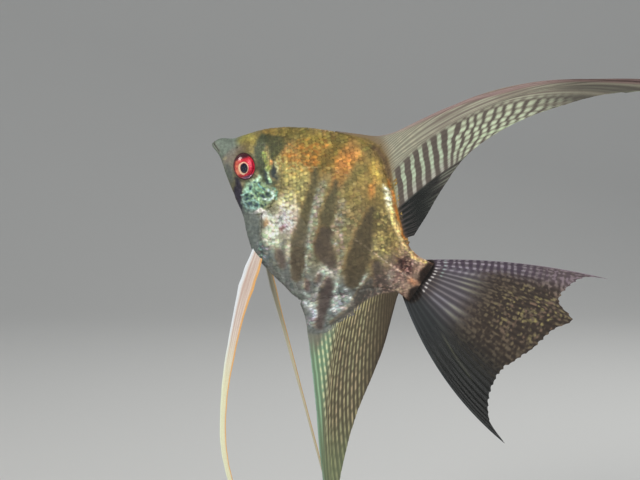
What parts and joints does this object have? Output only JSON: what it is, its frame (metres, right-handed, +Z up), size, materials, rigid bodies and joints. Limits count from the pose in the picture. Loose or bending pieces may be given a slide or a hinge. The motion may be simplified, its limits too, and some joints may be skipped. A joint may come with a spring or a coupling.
{
  "type": "freshwater angelfish model on a display stand",
  "caption": "Life-size still model of a freshwater angelfish, nose up with its long fins spread, held over a round wooden base by a slim steel rod.",
  "frame": {"origin": "centre of the underside of the round display base, where it meets the floor", "axes": "+Z up, the fish faces -X with its left side towards -Y, its tail towards +X"},
  "size_m": [0.1875, 0.1, 0.2064],
  "materials": {
    "fish_skin": "wet scaly skin, olive gold and silver with dusky bars",
    "eye": "glossy red iris under a clear cornea",
    "fin": "dusky rayed fin with pale iridescent dashes",
    "pale_fin": "pearly white ray blade, orange behind",
    "clear_fin": "clear rayed fin",
    "stand_wood": "dark satin varnish",
    "stand_steel": "satin"
  },
  "bodies": {
    "root": {"head": "fish_skin", "upper_jaw": "fish_skin", "lower_jaw": "fish_skin", "gill_cover_left": "fish_skin", "gill_cover_right": "fish_skin", "trunk": "fish_skin", "tail_stalk": "fish_skin", "eye_left": "eye", "eye_right": "eye", "dorsal_fin": "fin", "anal_fin": "fin", "tail_fin": "fin", "pelvic_fin_left": "pale_fin", "pelvic_fin_right": "pale_fin", "pectoral_fin_left": "clear_fin", "pectoral_fin_right": "clear_fin", "stand_base": "stand_wood", "stand_rod": "stand_steel", "stand_collar": "stand_steel"}
  },
  "joints": []
}
